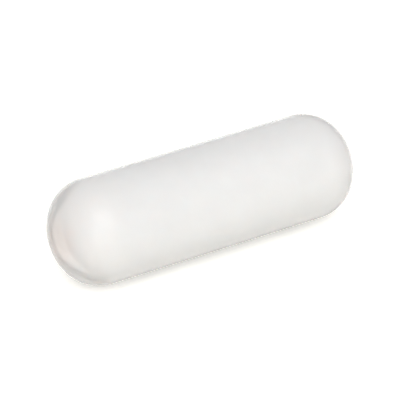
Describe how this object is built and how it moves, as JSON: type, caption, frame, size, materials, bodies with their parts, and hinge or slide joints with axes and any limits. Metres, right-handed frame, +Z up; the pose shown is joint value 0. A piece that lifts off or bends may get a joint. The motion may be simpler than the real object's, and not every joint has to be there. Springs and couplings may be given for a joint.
{
  "type": "magnetic stir bar",
  "caption": "Smooth white round-ended bar with a rod magnet sealed inside, spun in a vessel by a rotating magnetic field to mix a liquid.",
  "frame": {"origin": "middle of the bar, on its centre line, half-way between the tips of its two domed ends", "axes": "+X along the bar's centre line towards the end with the thinner wall; the bar lies level, and +Z is up"},
  "size_m": [0.025, 0.008, 0.008],
  "materials": {
    "ptfe": "satin, waxy, milky translucent white",
    "magnet_alloy": "ground cast alloy, dull grey"
  },
  "bodies": {
    "root": {"ptfe_jacket": "ptfe", "magnet_core": "magnet_alloy"}
  },
  "joints": []
}
